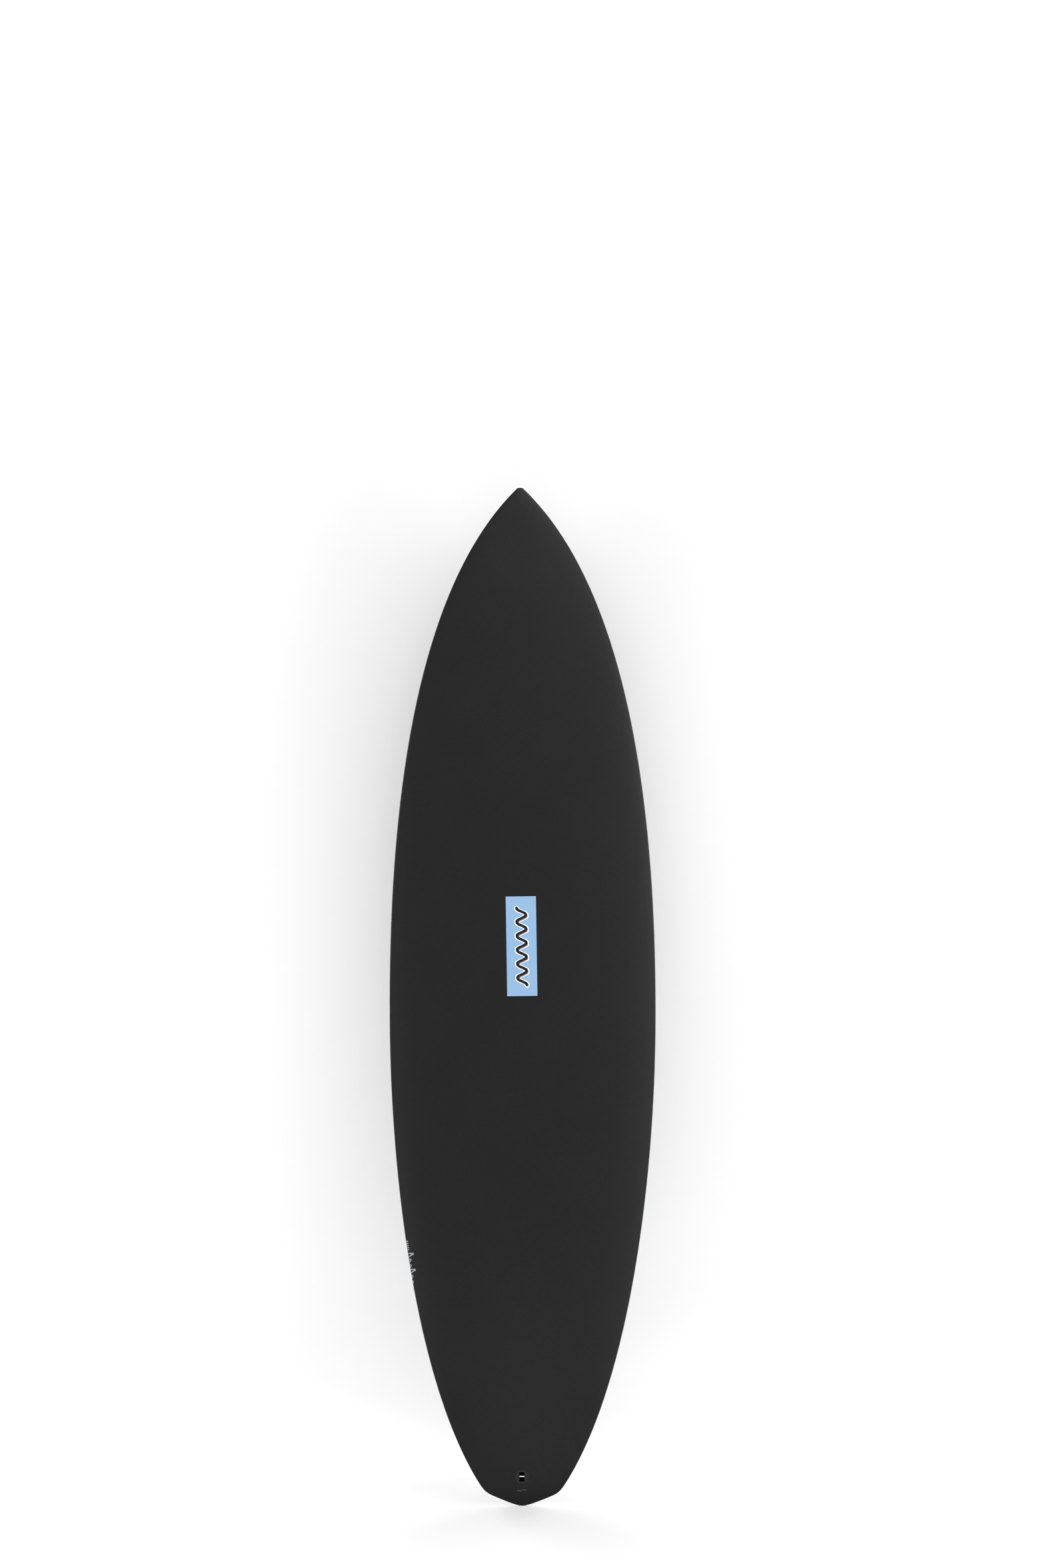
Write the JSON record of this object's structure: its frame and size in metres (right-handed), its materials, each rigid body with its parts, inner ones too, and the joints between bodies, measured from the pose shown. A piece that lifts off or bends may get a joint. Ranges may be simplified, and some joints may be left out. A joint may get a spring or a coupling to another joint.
{
  "type": "shortboard surfboard",
  "caption": "Shortboard with a pointed nose, diamond tail and matte black woven skin, a leash plug in the deck and removable fins in boxes.",
  "frame": {"origin": "lowest point of the tail tip, where the upright board touches the floor", "axes": "+Z from the tail tip to the nose tip, the deck faces -Y, the bottom and fins face +Y, +X is the right rail seen from the deck"},
  "size_m": [0.4994, 0.2223, 1.88],
  "materials": {
    "black_weave": "matte plain weave",
    "foam": "shaped foam",
    "stringer_ply": "plain",
    "label_film": "satin film",
    "black_plastic": "satin",
    "stainless_steel": "satin",
    "fin_composite": "satin"
  },
  "bodies": {
    "board": {"deck_laminate": "black_weave", "bottom_laminate": "black_weave", "foam_blank_left": "foam", "foam_blank_right": "foam", "stringer": "stringer_ply", "centre_label": "label_film", "leash_plug_cup": "black_plastic", "leash_plug_pin": "stainless_steel", "fin_box_left": "black_plastic", "fin_box_centre": "black_plastic", "fin_box_right": "black_plastic"},
    "fin_left": {"fin_left": "fin_composite"},
    "grub_screw_left_rear": {"grub_screw_left_rear": "stainless_steel"},
    "grub_screw_left_front": {"grub_screw_left_front": "stainless_steel"},
    "fin_centre": {"fin_centre": "fin_composite"},
    "grub_screw_centre_rear": {"grub_screw_centre_rear": "stainless_steel"},
    "grub_screw_centre_front": {"grub_screw_centre_front": "stainless_steel"},
    "fin_right": {"fin_right": "fin_composite"},
    "grub_screw_right_rear": {"grub_screw_right_rear": "stainless_steel"},
    "grub_screw_right_front": {"grub_screw_right_front": "stainless_steel"}
  },
  "joints": [
    {"name": "fin_left_pull", "type": "slide", "parent": "board", "child": "fin_left", "axis": [0.0079, 0.9966, -0.0818], "range_m": [0, 0.03]},
    {"name": "grub_screw_left_rear_turn", "type": "hinge", "parent": "board", "child": "grub_screw_left_rear", "pos_m": [-0.13892, 0.02833, 0.30564], "axis": [0.2153, 0.9723, -0.0914], "range_deg": [0, 720]},
    {"name": "grub_screw_left_front_turn", "type": "hinge", "parent": "board", "child": "grub_screw_left_front", "pos_m": [-0.13557, 0.0332, 0.36535], "axis": [0.2153, 0.9723, -0.0914], "range_deg": [0, 720]},
    {"name": "fin_centre_pull", "type": "slide", "parent": "board", "child": "fin_centre", "axis": [0, 0.9935, -0.1143], "range_m": [0, 0.03]},
    {"name": "grub_screw_centre_rear_turn", "type": "hinge", "parent": "board", "child": "grub_screw_centre_rear", "pos_m": [-0.00585, 0.00808, 0.11633], "axis": [-0.2079, 0.9717, -0.1118], "range_deg": [0, 720]},
    {"name": "grub_screw_centre_front_turn", "type": "hinge", "parent": "board", "child": "grub_screw_centre_front", "pos_m": [-0.00585, 0.01493, 0.17594], "axis": [-0.2079, 0.9717, -0.1118], "range_deg": [0, 720]},
    {"name": "fin_right_pull", "type": "slide", "parent": "board", "child": "fin_right", "axis": [-0.0079, 0.9966, -0.0818], "range_m": [0, 0.03]},
    {"name": "grub_screw_right_rear_turn", "type": "hinge", "parent": "board", "child": "grub_screw_right_rear", "pos_m": [0.13892, 0.02833, 0.30564], "axis": [-0.2153, 0.9723, -0.0914], "range_deg": [0, 720]},
    {"name": "grub_screw_right_front_turn", "type": "hinge", "parent": "board", "child": "grub_screw_right_front", "pos_m": [0.13557, 0.0332, 0.36535], "axis": [-0.2153, 0.9723, -0.0914], "range_deg": [0, 720]}
  ]
}
